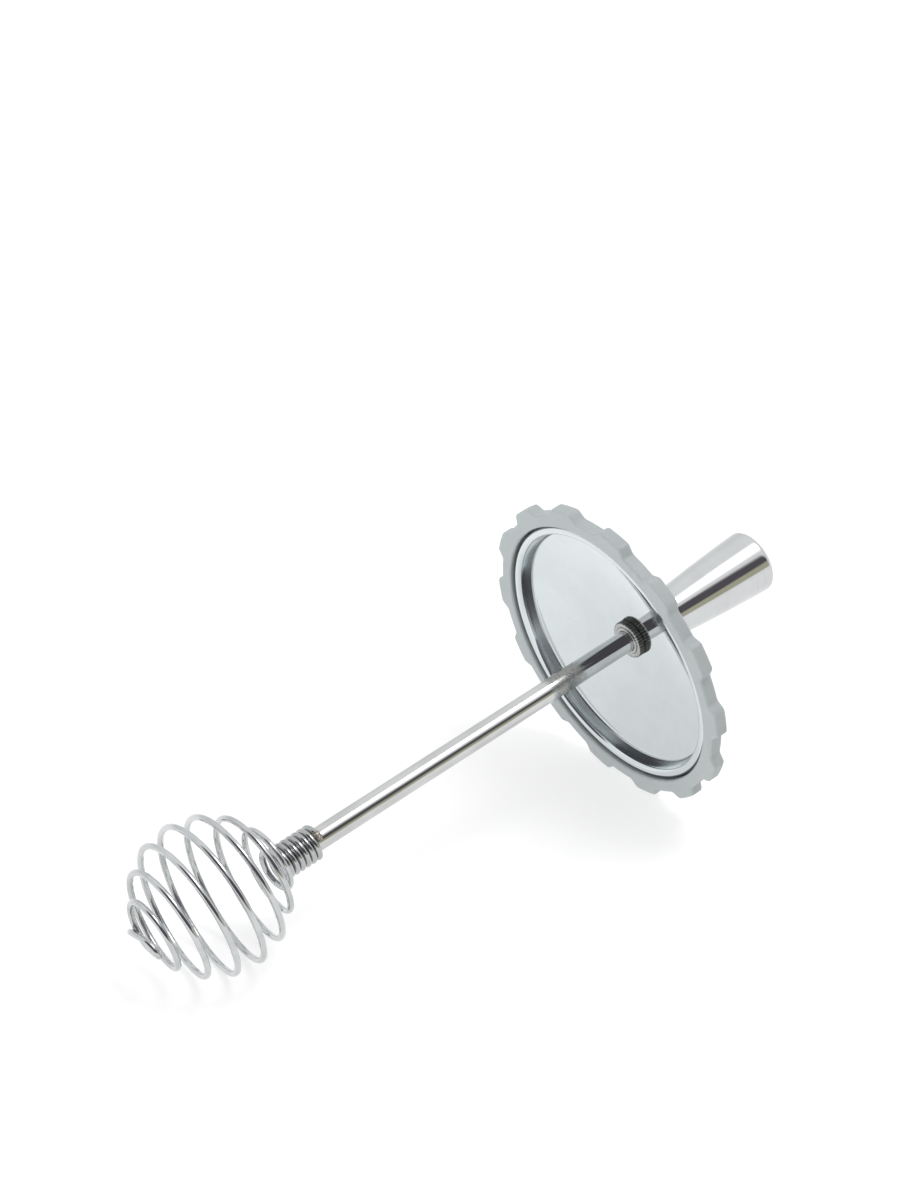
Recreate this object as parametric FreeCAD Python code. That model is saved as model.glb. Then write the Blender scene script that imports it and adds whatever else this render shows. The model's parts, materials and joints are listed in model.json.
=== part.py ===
import FreeCAD, Part
import math
import os

# Hand egg beater: a sprung ball of wire on a slim rod that slides and turns in a lid.
#
# Every piece is drawn upright first, in the beater's own frame: +Z runs along the rod from the
# wire ball to the handle, z = 0 is the face of the grip ring that looks at the ball, and +X is
# the side that will be underneath. A last step lays the beater down, as it rests on a table:
# two lobes of the grip ring and the ball touch Z = 0, +X runs along the beater towards the
# handle, and the origin is the middle of its footprint. Units are millimetres.

# Rod and handle
ROD_R = 3.0
ROD_START_Z = -105.6
ROD_END_CHAMFER = 0.5
STUD_R = 2.5
STUD_LENGTH = 9.0
HANDLE_LENGTH = 40.5
HANDLE_BASE_R = 5.5
HANDLE_MID_R = 7.14
HANDLE_MID_Z = 28.5
HANDLE_TOP_R = 8.95
HANDLE_EDGE_R = 1.4
HANDLE_WALL = 0.8
HANDLE_CAP_R = 6.9
HANDLE_CAP_THICK = 1.0
HANDLE_CAP_RISE = 0.5
INSERT_LENGTH = 12.0

# Wire: a close-wound sleeve on the rod that opens into a ball
WIRE_R = 0.85
SLEEVE_PITCH = 1.74
SLEEVE_TURNS = 7.41
SLEEVE_R = ROD_R + WIRE_R + 0.03
BALL_R = 19.9
BALL_HALF_LENGTH = 19.6
BALL_CENTRE_Z = -126.3
BALL_FIRST_LATITUDE = math.asin(SLEEVE_R / BALL_R)
BALL_LAST_LATITUDE = math.radians(165.7)
LATITUDE_PER_TURN = math.radians(21.37)
BALL_FIRST_AZIMUTH = math.radians(66.2)
# The ball stands askew on the rod: its axis is offset and leans, and its loops are tilted
BALL_OFFSET_X = -0.9
BALL_OFFSET_Y = 1.2
BALL_LEAN_X = -0.033
BALL_LEAN_Y = 0.041
LOOP_TILT_X = 0.013
LOOP_TILT_Y = 0.043
SKEW_TURNS = 0.9
# The sleeve reaches one turn into the ball, and the wire is pushed out where it leaves the sleeve
PUSH_ON = SLEEVE_PITCH
PUSH_OUT = 1.1
PUSH_TURNS_BEFORE = 0.35
PUSH_TURNS_AFTER = 0.5
WIRE_POINTS_PER_TURN = 16
WIRE_SPANS = 60
# The wire's last hook across the tip
WIRE_TAIL = [
    (1.9, -2.4, -145.4),
    (0.6, -2.6, -145.7),
    (-0.7, -1.4, -146.0),
    (-1.6, 1.0, -146.3),
    (-1.0, 4.6, -146.5),
    (0.7, 8.9, -146.2),
]
WELD_R = 1.15

# Lid plate: a pressed disc with a domed middle and a beaded rim
SHEET = 0.6
DOME_EDGE_R = 34.6
DOME_EDGE_Z = 4.9
DOME_CENTRE_Z = 10.3
WALL_FOOT_R = 35.15
WALL_FOOT_Z = 2.7
BEAD_R = 36.6
BEAD_HALF_WIDTH = 1.3
BEAD_Z = 0.7
FLANGE_R = 39.6
FLANGE_Z = 2.2

# Grip ring: a soft ring with lobes, sprung over the plate's flange
RING_THICK = 3.8
RING_LIP_R = 38.2
RING_ROOT_R = 41.7
RING_TIP_R = 43.8
RING_LOBES = 14
LOBE_FOOT_HALF_ANGLE = math.radians(7.6)
LOBE_TOP_HALF_ANGLE = math.radians(5.0)
LOBE_CORNER_R = 1.0
RING_EDGE_R = 0.7
LIP_CHAMFER = 0.35
RING_BACK_LIP_R = 38.1

# Guide bush, its nut and its seals
BUSH_BORE_R = ROD_R + 0.05
BUSH_BARREL_R = 3.9
BUSH_END_Z = 8.0
BUSH_HEAD_R = 5.6
BUSH_HEAD_THICK = 2.0
NUT_R = 5.35
NUT_TEETH = 40
NUT_TOOTH_DEPTH = 0.28
NUT_START_Z = 8.2
NUT_CHAMFER = 0.3
WASHER_THICK = 0.5
WASHER_R = 5.4
ORING_SECTION_R = 0.5
ORING_CLEARANCE = 0.05

# Values that follow from the ones above
PLATE_TOP_Z = DOME_CENTRE_Z + SHEET
BUSH_SHOULDER_Z = PLATE_TOP_Z + WASHER_THICK
BUSH_TOP_Z = BUSH_SHOULDER_Z + BUSH_HEAD_THICK
HANDLE_BASE_Z = BUSH_TOP_Z + 0.2
HANDLE_TOP_Z = HANDLE_BASE_Z + HANDLE_LENGTH
ORING_Z = (BUSH_SHOULDER_Z + BUSH_TOP_Z) / 2
ORING_R = BUSH_BORE_R + ORING_SECTION_R
LEAN_STEPS = 4
Z_AXIS = FreeCAD.Vector(0, 0, 1)
Y_AXIS = FreeCAD.Vector(0, 1, 0)
ORIGIN = FreeCAD.Vector(0, 0, 0)


def at(r, z):
    """A point of an outline that will be turned about the Z axis."""
    return FreeCAD.Vector(r, 0, z)


def outline(start, *steps):
    """A closed wire from steps that are a point, for a line, or a (through, end) pair, for an arc."""
    edges = []
    here = at(*start)
    for step in steps:
        if isinstance(step[0], tuple):
            through = at(*step[0])
            end = at(*step[1])
            edges.append(Part.Arc(here, through, end).toShape())
        else:
            end = at(*step)
            edges.append(Part.makeLine(here, end))
        here = end
    edges.append(Part.makeLine(here, at(*start)))
    return Part.Wire(edges)


def turned(wire):
    """The solid of a closed outline turned about the Z axis."""
    return Part.Face(wire).revolve(ORIGIN, Z_AXIS, 360)


def tube(inner_r, outer_r, z_low, z_high):
    """A plain tube about the Z axis."""
    corners = [(outer_r, z_low), (outer_r, z_high), (inner_r, z_high)]
    return turned(outline((inner_r, z_low), *corners))


def sphere_radius(edge_r, rise):
    """Radius of the sphere whose cap has this edge radius and this rise."""
    return (edge_r ** 2 + rise ** 2) / (2 * rise)


def on_sphere(r, sphere_r, centre_z):
    """Height of a sphere's upper side at a distance r from its axis."""
    return centre_z + math.sqrt(sphere_r ** 2 - r ** 2)


def dome_z(r, sheet):
    """Height of the dome at a radius: its underside, or its top with one sheet added."""
    sphere_r = sphere_radius(DOME_EDGE_R, DOME_CENTRE_Z - DOME_EDGE_Z)
    return on_sphere(r, sphere_r + sheet, DOME_CENTRE_Z - sphere_r)


def handle_r(z):
    """Radius of the handle's outside, a shallow curve through its base, middle and top."""
    top_z = HANDLE_TOP_Z
    base = (z - HANDLE_MID_Z) * (z - top_z) / ((HANDLE_BASE_Z - HANDLE_MID_Z) * (HANDLE_BASE_Z - top_z))
    middle = (z - HANDLE_BASE_Z) * (z - top_z) / ((HANDLE_MID_Z - HANDLE_BASE_Z) * (HANDLE_MID_Z - top_z))
    top = (z - HANDLE_BASE_Z) * (z - HANDLE_MID_Z) / ((top_z - HANDLE_BASE_Z) * (top_z - HANDLE_MID_Z))
    return HANDLE_BASE_R * base + HANDLE_MID_R * middle + HANDLE_TOP_R * top


def rod():
    """The solid rod, with a stud at its top that screws into the handle."""
    return turned(outline(
        (0, ROD_START_Z),
        (ROD_R - ROD_END_CHAMFER, ROD_START_Z),
        (ROD_R, ROD_START_Z + ROD_END_CHAMFER),
        (ROD_R, HANDLE_BASE_Z),
        (STUD_R, HANDLE_BASE_Z),
        (STUD_R, HANDLE_BASE_Z + STUD_LENGTH),
        (0, HANDLE_BASE_Z + STUD_LENGTH),
    ))


def handle_shell():
    """The handle's thin flared shell, its top edge rolled in to hold the end cap."""
    edge_z = HANDLE_TOP_Z - HANDLE_EDGE_R
    edge_r = handle_r(edge_z)
    inner_z = HANDLE_TOP_Z - HANDLE_WALL
    turn = HANDLE_EDGE_R * (1 - math.sqrt(0.5))
    return turned(outline(
        (HANDLE_BASE_R, HANDLE_BASE_Z),
        ((HANDLE_MID_R, HANDLE_MID_Z), (edge_r, edge_z)),
        ((edge_r - turn, HANDLE_TOP_Z - turn), (edge_r - HANDLE_EDGE_R, HANDLE_TOP_Z)),
        (HANDLE_CAP_R, HANDLE_TOP_Z),
        (HANDLE_CAP_R, inner_z),
        (edge_r - HANDLE_WALL - 0.3, inner_z),
        (edge_r - HANDLE_WALL, edge_z),
        ((HANDLE_MID_R - HANDLE_WALL, HANDLE_MID_Z), (HANDLE_BASE_R - HANDLE_WALL, HANDLE_BASE_Z)),
    ))


def handle_end_cap():
    """A slightly domed disc, set in the handle's rolled edge."""
    low = HANDLE_TOP_Z - HANDLE_CAP_THICK
    mid_r = HANDLE_CAP_R / 2
    peak = HANDLE_TOP_Z + HANDLE_CAP_RISE
    sphere_r = sphere_radius(HANDLE_CAP_R, HANDLE_CAP_RISE)
    return turned(outline(
        (0, low),
        (HANDLE_CAP_R, low),
        (HANDLE_CAP_R, HANDLE_TOP_Z),
        ((mid_r, on_sphere(mid_r, sphere_r, peak - sphere_r)), (0, peak)),
    ))


def handle_insert():
    """The tapped plug in the handle's foot, which the rod's stud screws into."""
    top = HANDLE_BASE_Z + INSERT_LENGTH
    base_r = HANDLE_BASE_R - HANDLE_WALL
    return turned(outline(
        (STUD_R, HANDLE_BASE_Z),
        (base_r, HANDLE_BASE_Z),
        (base_r, top),
        (0, top),
        (0, HANDLE_BASE_Z + STUD_LENGTH),
        (STUD_R, HANDLE_BASE_Z + STUD_LENGTH),
    ))


def push_share(turns):
    """How much of the push is reached, this many turns past the sleeve, or before it if negative."""
    reach = PUSH_TURNS_AFTER if turns > 0 else PUSH_TURNS_BEFORE
    share = max(1 - abs(turns) / reach, 0.0)
    return share * share * (3 - 2 * share)


def sleeve_points():
    """Centre line of the wire's sleeve, from its free end down to the ball."""
    steps = round(SLEEVE_TURNS * WIRE_POINTS_PER_TURN)
    start_z = BALL_CENTRE_Z + BALL_HALF_LENGTH * math.cos(BALL_FIRST_LATITUDE) - PUSH_ON
    points = []
    for step in range(steps, 0, -1):
        turns = SLEEVE_TURNS * step / steps
        azimuth = BALL_FIRST_AZIMUTH + 2 * math.pi * turns
        r = SLEEVE_R + PUSH_OUT * push_share(-turns)
        z = start_z + SLEEVE_PITCH * turns
        points.append(FreeCAD.Vector(r * math.cos(azimuth), r * math.sin(azimuth), z))
    return points


def skew_share(turns):
    """How much of the ball's askew stand is reached, this many turns past the sleeve."""
    share = min(turns / SKEW_TURNS, 1.0)
    return share * share * (3 - 2 * share)


def ball_points():
    """Centre line of the wire's ball: a spiral that drops in latitude at an even rate."""
    all_turns = (BALL_LAST_LATITUDE - BALL_FIRST_LATITUDE) / LATITUDE_PER_TURN
    steps = round(all_turns * WIRE_POINTS_PER_TURN)
    points = []
    for step in range(steps + 1):
        turns = all_turns * step / steps
        latitude = BALL_FIRST_LATITUDE + LATITUDE_PER_TURN * turns
        azimuth = BALL_FIRST_AZIMUTH - 2 * math.pi * turns
        push = push_share(turns)
        r = BALL_R * math.sin(latitude) + PUSH_OUT * push
        x = r * math.cos(azimuth)
        y = r * math.sin(azimuth)
        z = BALL_HALF_LENGTH * math.cos(latitude)
        down = BALL_HALF_LENGTH * math.cos(BALL_FIRST_LATITUDE) - z
        share = skew_share(turns)
        z += share * (LOOP_TILT_X * x + LOOP_TILT_Y * y)
        x += share * BALL_OFFSET_X + BALL_LEAN_X * down
        y += share * BALL_OFFSET_Y + BALL_LEAN_Y * down
        points.append(FreeCAD.Vector(x, y, BALL_CENTRE_Z + z - PUSH_ON * push))
    return points


def wire_points():
    """Centre line of the whole wire."""
    return sleeve_points() + ball_points() + [FreeCAD.Vector(*point) for point in WIRE_TAIL]


def whisk_wire():
    """One length of round wire, swept along its centre line in short spans."""
    curve = Part.BSplineCurve()
    curve.interpolate(wire_points())
    first = curve.FirstParameter
    span = (curve.LastParameter - first) / WIRE_SPANS
    spans = [curve.toShape(first + span * i, first + span * (i + 1)) for i in range(WIRE_SPANS)]
    section = Part.Wire(Part.makeCircle(WIRE_R, curve.value(first), curve.tangent(first)[0]))
    return Part.Wire(spans).makePipeShell([section], True, False)


def wire_weld():
    """The bead that holds the wire's free end to the rod."""
    end = wire_points()[0]
    return Part.makeSphere(WELD_R, end)


def lid_plate():
    """The pressed plate: dome, sloping wall, bead and flange in one thickness of sheet."""
    bead_inner = BEAD_R - BEAD_HALF_WIDTH
    bead_outer = BEAD_R + BEAD_HALF_WIDTH
    bead_side_z = BEAD_Z + BEAD_HALF_WIDTH
    fold = BEAD_HALF_WIDTH - SHEET
    mid_r = DOME_EDGE_R / 2
    top_edge_r = DOME_EDGE_R + 0.25
    return turned(outline(
        (BUSH_BARREL_R, dome_z(BUSH_BARREL_R, 0)),
        ((mid_r, dome_z(mid_r, 0)), (DOME_EDGE_R, DOME_EDGE_Z)),
        (WALL_FOOT_R, WALL_FOOT_Z),
        (bead_inner, bead_side_z),
        ((BEAD_R, BEAD_Z), (bead_outer, bead_side_z)),
        (bead_outer, FLANGE_Z),
        (FLANGE_R, FLANGE_Z),
        (FLANGE_R, FLANGE_Z + SHEET),
        (bead_outer - SHEET, FLANGE_Z + SHEET),
        (bead_outer - SHEET, bead_side_z),
        ((BEAD_R, bead_side_z - fold), (bead_inner + SHEET, bead_side_z)),
        (WALL_FOOT_R + SHEET, WALL_FOOT_Z),
        (top_edge_r, dome_z(top_edge_r, SHEET)),
        ((mid_r, dome_z(mid_r, SHEET)), (BUSH_BARREL_R, dome_z(BUSH_BARREL_R, SHEET))),
    ))


def on_circle(r, angle):
    """A point in the plane z = 0."""
    return FreeCAD.Vector(r * math.cos(angle), r * math.sin(angle), 0)


def lobed_face():
    """The grip ring's outer outline: lobes with sloping flanks, a valley underneath at +X."""
    spacing = 2 * math.pi / RING_LOBES
    edges = []
    for lobe in range(RING_LOBES):
        middle = (lobe + 0.5) * spacing
        foot_in = on_circle(RING_ROOT_R, middle - LOBE_FOOT_HALF_ANGLE)
        top_in = on_circle(RING_TIP_R, middle - LOBE_TOP_HALF_ANGLE)
        crest = on_circle(RING_TIP_R, middle)
        top_out = on_circle(RING_TIP_R, middle + LOBE_TOP_HALF_ANGLE)
        foot_out = on_circle(RING_ROOT_R, middle + LOBE_FOOT_HALF_ANGLE)
        valley = on_circle(RING_ROOT_R, middle + spacing / 2)
        next_foot = on_circle(RING_ROOT_R, middle + spacing - LOBE_FOOT_HALF_ANGLE)
        edges.append(Part.makeLine(foot_in, top_in))
        edges.append(Part.Arc(top_in, crest, top_out).toShape())
        edges.append(Part.makeLine(top_out, foot_out))
        edges.append(Part.Arc(foot_out, valley, next_foot).toShape())
    return Part.Face(Part.Wire(edges))


def grip_ring():
    """The lobed ring, rounded all over, with the groove that grips the plate's flange."""
    blank = lobed_face().extrude(FreeCAD.Vector(0, 0, RING_THICK))
    upright = [edge for edge in blank.Edges if edge.BoundBox.ZLength > RING_THICK / 2]
    blank = blank.makeFillet(LOBE_CORNER_R, upright)
    rims = [edge for edge in blank.Edges if edge.BoundBox.ZLength < RING_EDGE_R]
    blank = blank.makeFillet(RING_EDGE_R, rims)
    hollow = turned(outline(
        (0, -1),
        (RING_LIP_R + LIP_CHAMFER + 1, -1),
        (RING_LIP_R, LIP_CHAMFER),
        (RING_LIP_R, FLANGE_Z),
        (FLANGE_R, FLANGE_Z),
        (FLANGE_R, FLANGE_Z + SHEET),
        (RING_BACK_LIP_R, FLANGE_Z + SHEET),
        (RING_BACK_LIP_R, RING_THICK + 1),
        (0, RING_THICK + 1),
    ))
    return blank.cut(hollow).Solids[0]


def guide_bush():
    """The flanged bush that the rod runs in, with a groove for its seal inside the head."""
    groove_r = ORING_R + ORING_SECTION_R + ORING_CLEARANCE
    groove_half = ORING_SECTION_R + ORING_CLEARANCE
    return turned(outline(
        (BUSH_BORE_R, BUSH_END_Z),
        (BUSH_BARREL_R, BUSH_END_Z),
        (BUSH_BARREL_R, BUSH_SHOULDER_Z),
        (BUSH_HEAD_R, BUSH_SHOULDER_Z),
        (BUSH_HEAD_R, BUSH_TOP_Z - NUT_CHAMFER),
        (BUSH_HEAD_R - NUT_CHAMFER, BUSH_TOP_Z),
        (BUSH_BORE_R, BUSH_TOP_Z),
        (BUSH_BORE_R, ORING_Z + groove_half),
        (groove_r, ORING_Z + groove_half),
        (groove_r, ORING_Z - groove_half),
        (BUSH_BORE_R, ORING_Z - groove_half),
    ))


def shaft_seal():
    """The O-ring in the bush's head, which drags on the rod and holds it where it is put."""
    return Part.makeTorus(ORING_R, ORING_SECTION_R, FreeCAD.Vector(0, 0, ORING_Z))


def seal_washer():
    """The flat washer between the bush's head and the top of the plate."""
    return tube(BUSH_BARREL_R, WASHER_R, PLATE_TOP_Z, BUSH_SHOULDER_Z)


def collar_nut():
    """The knurled nut that clamps the bush to the plate from below."""
    corners = []
    for tooth in range(NUT_TEETH):
        angle = 2 * math.pi * tooth / NUT_TEETH
        corners.append(on_circle(NUT_R, angle))
        corners.append(on_circle(NUT_R - NUT_TOOTH_DEPTH, angle + math.pi / NUT_TEETH))
    star = Part.Face(Part.makePolygon(corners + corners[:1]))
    star.translate(FreeCAD.Vector(0, 0, NUT_START_Z))
    height = DOME_CENTRE_Z - 0.16 - NUT_START_Z
    blank = star.extrude(FreeCAD.Vector(0, 0, height))
    envelope = turned(outline(
        (BUSH_BARREL_R, NUT_START_Z),
        (NUT_R - NUT_CHAMFER, NUT_START_Z),
        (NUT_R + 0.1, NUT_START_Z + NUT_CHAMFER),
        (NUT_R + 0.1, NUT_START_Z + height),
        (BUSH_BARREL_R, NUT_START_Z + height),
    ))
    return blank.common(envelope).Solids[0]


def lowest_wire(lean):
    """Lowest point of the wire below the rod's axis through z = 0, with the rod at this lean."""
    points = wire_points()
    heights = []
    for before, here, after in zip(points, points[1:], points[2:]):
        run = after - before
        rise = (run.z * math.sin(lean) - run.x * math.cos(lean)) / run.Length
        height = here.z * math.sin(lean) - here.x * math.cos(lean)
        heights.append(height - WIRE_R * math.sqrt(1 - rise * rise))
    return min(heights)


def laid(shape, lean):
    """A copy of an upright shape with the rod tipped over to its lean above the table."""
    copy = shape.copy()
    copy.rotate(ORIGIN, Y_AXIS, 90 - math.degrees(lean))
    return copy


def resting_lean(ring):
    """The rod's lean with the ring's lobes and the wire ball on one level, by the secant rule."""
    before = math.radians(10)
    lean = math.radians(12)
    gap_before = laid(ring, before).optimalBoundingBox().ZMin - lowest_wire(before)
    for _ in range(LEAN_STEPS):
        gap = laid(ring, lean).optimalBoundingBox().ZMin - lowest_wire(lean)
        before, lean = lean, lean - gap * (lean - before) / (gap - gap_before)
        gap_before = gap
    return lean


def build():
    """Every piece by name, upright."""
    return {
        "whisk_wire": whisk_wire(),
        "wire_weld": wire_weld(),
        "rod": rod(),
        "handle_insert": handle_insert(),
        "handle_shell": handle_shell(),
        "handle_end_cap": handle_end_cap(),
        "guide_bush": guide_bush(),
        "shaft_seal": shaft_seal(),
        "seal_washer": seal_washer(),
        "collar_nut": collar_nut(),
        "lid_plate": lid_plate(),
        "grip_ring": grip_ring(),
    }


def main():
    pieces = build()
    lean = resting_lean(pieces["grip_ring"])
    laid_pieces = {name: laid(shape, lean) for name, shape in pieces.items()}
    box = Part.makeCompound(list(laid_pieces.values())).optimalBoundingBox()
    shift = FreeCAD.Vector(-box.Center.x, -box.Center.y, -box.ZMin)
    os.makedirs("parts", exist_ok=True)
    for name, shape in laid_pieces.items():
        shape.translate(shift)
        shape.exportStep("parts/" + name + ".step")
        print(name, shape.isValid(), shape.ShapeType, round(shape.Volume, 2))
    print("lean in degrees", math.degrees(lean))
    print("ring face centre", tuple(shift))
    print("size", box.XLength, box.YLength, box.ZLength)


main()
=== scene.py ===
import json
import math

import bmesh
import bpy
import numpy as np
from mathutils import Matrix, Vector, noise


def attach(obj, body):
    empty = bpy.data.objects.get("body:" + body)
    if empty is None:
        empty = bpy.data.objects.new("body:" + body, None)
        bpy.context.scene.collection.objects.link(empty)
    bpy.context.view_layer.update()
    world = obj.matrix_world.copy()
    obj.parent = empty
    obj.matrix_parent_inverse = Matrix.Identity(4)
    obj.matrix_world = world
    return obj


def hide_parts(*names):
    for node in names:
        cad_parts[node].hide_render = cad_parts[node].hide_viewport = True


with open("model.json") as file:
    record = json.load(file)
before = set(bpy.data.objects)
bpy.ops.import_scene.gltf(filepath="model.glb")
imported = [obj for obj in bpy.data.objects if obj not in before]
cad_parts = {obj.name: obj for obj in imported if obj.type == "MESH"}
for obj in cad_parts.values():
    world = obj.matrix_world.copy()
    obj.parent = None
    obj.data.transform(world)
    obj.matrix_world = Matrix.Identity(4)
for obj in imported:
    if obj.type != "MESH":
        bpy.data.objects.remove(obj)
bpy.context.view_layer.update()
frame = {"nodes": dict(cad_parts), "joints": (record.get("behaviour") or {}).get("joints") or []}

# Every piece is drawn in the beater's own frame, in millimetres: +Z runs along the rod from the
# wire ball to the handle, z = 0 is the grip ring's face that looks at the ball, and +X is the
# side that lies underneath. BEATER takes that frame, scaled to metres, to the row frame.
MM = 0.001
SPIN = next(j for j in frame["joints"] if j["name"] == "rod_spin")
SPIN_Z = 12.4  # height of the shaft seal, where the spin joint stands
ALONG = Vector(SPIN["axis"]).normalized()
ACROSS = Vector((0.0, 1.0, 0.0))
UNDER = ACROSS.cross(ALONG)
RING_CENTRE = Vector(SPIN["pos_m"]) - ALONG * SPIN_Z * MM
BEATER = Matrix((UNDER, ACROSS, ALONG)).transposed().to_4x4()
BEATER.translation = RING_CENTRE

SEGMENTS = 224
PLATE_SEGMENTS = 320

# Rod and handle
ROD_R = 3.0
ROD_START_Z = -105.6
STUD_R = 2.5
STUD_LENGTH = 9.0
HANDLE_BASE_Z = 13.6
HANDLE_TOP_Z = 54.1
HANDLE_BASE_R = 5.5
HANDLE_MID_R = 7.14
HANDLE_MID_Z = 28.5
HANDLE_TOP_R = 8.95
HANDLE_EDGE_R = 1.4
HANDLE_WALL = 0.8
CAP_R = 6.9
CAP_THICK = 1.0
CAP_RISE = 0.5

# Wire
WIRE_R = 0.85
SLEEVE_PITCH = 1.74
SLEEVE_TURNS = 7.41
SLEEVE_R = ROD_R + WIRE_R + 0.03
BALL_R = 19.9
BALL_HALF_LENGTH = 19.6
BALL_CENTRE_Z = -126.3
BALL_FIRST_LATITUDE = math.asin(SLEEVE_R / BALL_R)
BALL_LAST_LATITUDE = math.radians(165.7)
LATITUDE_PER_TURN = math.radians(21.37)
BALL_FIRST_AZIMUTH = math.radians(66.2)
# The ball stands askew on the rod: its axis is offset and leans, and its loops are tilted
BALL_OFFSET_X = -0.9
BALL_OFFSET_Y = 1.2
BALL_LEAN_X = -0.033
BALL_LEAN_Y = 0.041
LOOP_TILT_X = 0.013
LOOP_TILT_Y = 0.043
SKEW_TURNS = 0.9
# The sleeve reaches one turn into the ball, and the wire is pushed out where it leaves the sleeve
PUSH_ON = SLEEVE_PITCH
PUSH_OUT = 1.1
PUSH_TURNS_BEFORE = 0.35
PUSH_TURNS_AFTER = 0.5
WIRE_TAIL = [
    (1.9, -2.4, -145.4),
    (0.6, -2.6, -145.7),
    (-0.7, -1.4, -146.0),
    (-1.6, 1.0, -146.3),
    (-1.0, 4.6, -146.5),
    (0.7, 8.9, -146.2),
]
PATH_STEPS_PER_TURN = 16
TUBE_STEPS = 4
TUBE_SIDES = 20
WELD_R = 1.15

# Lid plate
SHEET = 0.6
DOME_EDGE_R = 34.6
DOME_EDGE_Z = 4.9
DOME_CENTRE_Z = 10.3
WALL_FOOT_R = 35.15
WALL_FOOT_Z = 2.7
BEAD_R = 36.6
BEAD_HALF_WIDTH = 1.3
BEAD_Z = 0.7
FLANGE_R = 39.6
FLANGE_Z = 2.2

# Grip ring
RING_THICK = 3.8
RING_LIP_R = 38.2
RING_BACK_LIP_R = 38.1
RING_ROOT_R = 41.7
RING_TIP_R = 43.8
LOBES = 14
LOBE_FOOT = math.radians(7.6)
LOBE_TOP = math.radians(5.0)
LOBE_ROUNDING = math.radians(0.72)
RING_EDGE_R = 0.7
LIP_CHAMFER = 0.35
STEPS_PER_LOBE = 64

# Guide bush, nut and washer
BORE_R = ROD_R + 0.05
BARREL_R = 3.9
BUSH_END_Z = 8.0
PLATE_TOP_Z = DOME_CENTRE_Z + SHEET
WASHER_R = 5.4
SHOULDER_Z = PLATE_TOP_Z + 0.5
HEAD_R = 5.6
BUSH_TOP_Z = SHOULDER_Z + 2.0
GROOVE_R = BORE_R + 1.05
GROOVE_HALF = 0.55
NUT_R = 5.35
NUT_START_Z = 8.2
NUT_END_Z = DOME_CENTRE_Z - 0.16
NUT_TEETH = 40
TOOTH_DEPTH = 0.28
NUT_CHAMFER = 0.3
STEPS_PER_TOOTH = 8


# ---------------------------------------------------------------- outlines

def fillet(before, corner, after, radius, steps=6):
    """The points of the arc that rounds one corner of an outline."""
    corner = Vector(corner)
    back = Vector(before) - corner
    ahead = Vector(after) - corner
    half = back.angle(ahead) / 2
    reach = min(radius / math.tan(half), back.length * 0.49, ahead.length * 0.49)
    radius = reach * math.tan(half)
    start = corner + back.normalized() * reach
    end = corner + ahead.normalized() * reach
    middle = (back.normalized() + ahead.normalized()).normalized()
    centre = corner + middle * (radius / math.sin(half))
    turn = (start - centre).angle_signed(end - centre)
    points = []
    for step in range(steps + 1):
        arm = (start - centre).copy()
        arm.rotate(Matrix.Rotation(-turn * step / steps, 2))
        points.append(tuple(centre + arm))
    return points


def rounded(corners):
    """A closed outline from (r, z) or (r, z, rounding) corners."""
    points = []
    for i, corner in enumerate(corners):
        here = corner[:2]
        if len(corner) == 3:
            before = corners[i - 1][:2]
            after = corners[(i + 1) % len(corners)][:2]
            points += fillet(before, here, after, corner[2])
        else:
            points.append(here)
    return points


def between(function, start, end, steps):
    """(r, z) points of r = function(z) from z = start to z = end."""
    heights = [start + (end - start) * i / steps for i in range(steps + 1)]
    return [(function(z), z) for z in heights]


def handle_r(z):
    """Radius of the handle's outside, a shallow curve through its base, middle and top."""
    knots = [
        (HANDLE_BASE_Z, HANDLE_BASE_R),
        (HANDLE_MID_Z, HANDLE_MID_R),
        (HANDLE_TOP_Z, HANDLE_TOP_R),
    ]
    total = 0.0
    for i, (zi, ri) in enumerate(knots):
        share = ri
        for j, (zj, _) in enumerate(knots):
            if i != j:
                share *= (z - zj) / (zi - zj)
        total += share
    return total


def dome_z(r, sheet):
    """Height of the plate's dome: its underside, or its top with one sheet added."""
    rise = DOME_CENTRE_Z - DOME_EDGE_Z
    sphere_r = (DOME_EDGE_R ** 2 + rise ** 2) / (2 * rise)
    return DOME_CENTRE_Z - sphere_r + math.sqrt((sphere_r + sheet) ** 2 - r ** 2)


def dome_points(start, end, sheet, steps=40):
    """(r, z) points along the dome from one radius to another."""
    radii = [start + (end - start) * i / steps for i in range(steps + 1)]
    return [(r, dome_z(r, sheet)) for r in radii]


# ---------------------------------------------------------------- meshes

def new_piece(name, vertices, faces, material, body, slot, *nodes):
    """A smooth closed mesh in the beater's frame that rides on a body and stands for CAD nodes."""
    mesh = bpy.data.meshes.new(name)
    mesh.from_pydata([Vector(v) * MM for v in vertices], [], faces)
    mesh.transform(BEATER)
    tidy = bmesh.new()
    tidy.from_mesh(mesh)
    bmesh.ops.recalc_face_normals(tidy, faces=tidy.faces)
    tidy.to_mesh(mesh)
    tidy.free()
    mesh.shade_smooth()
    mesh.materials.append(material)
    piece = bpy.data.objects.new(name, mesh)
    bpy.context.scene.collection.objects.link(piece)
    weighted = piece.modifiers.new("flat faces stay flat", "WEIGHTED_NORMAL")
    weighted.keep_sharp = True
    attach(piece, body)
    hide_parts(*nodes)


def lathe(outline, segments=SEGMENTS):
    """Vertices and faces of a closed outline turned about Z. Points with r = 0 become poles."""
    vertices = []
    rings = []
    for r, z in outline:
        if r < 1e-6:
            rings.append([len(vertices)] * segments)
            vertices.append((0.0, 0.0, z))
            continue
        rings.append(list(range(len(vertices), len(vertices) + segments)))
        for k in range(segments):
            angle = 2 * math.pi * k / segments
            vertices.append((r * math.cos(angle), r * math.sin(angle), z))
    return vertices, skin(rings)


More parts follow.
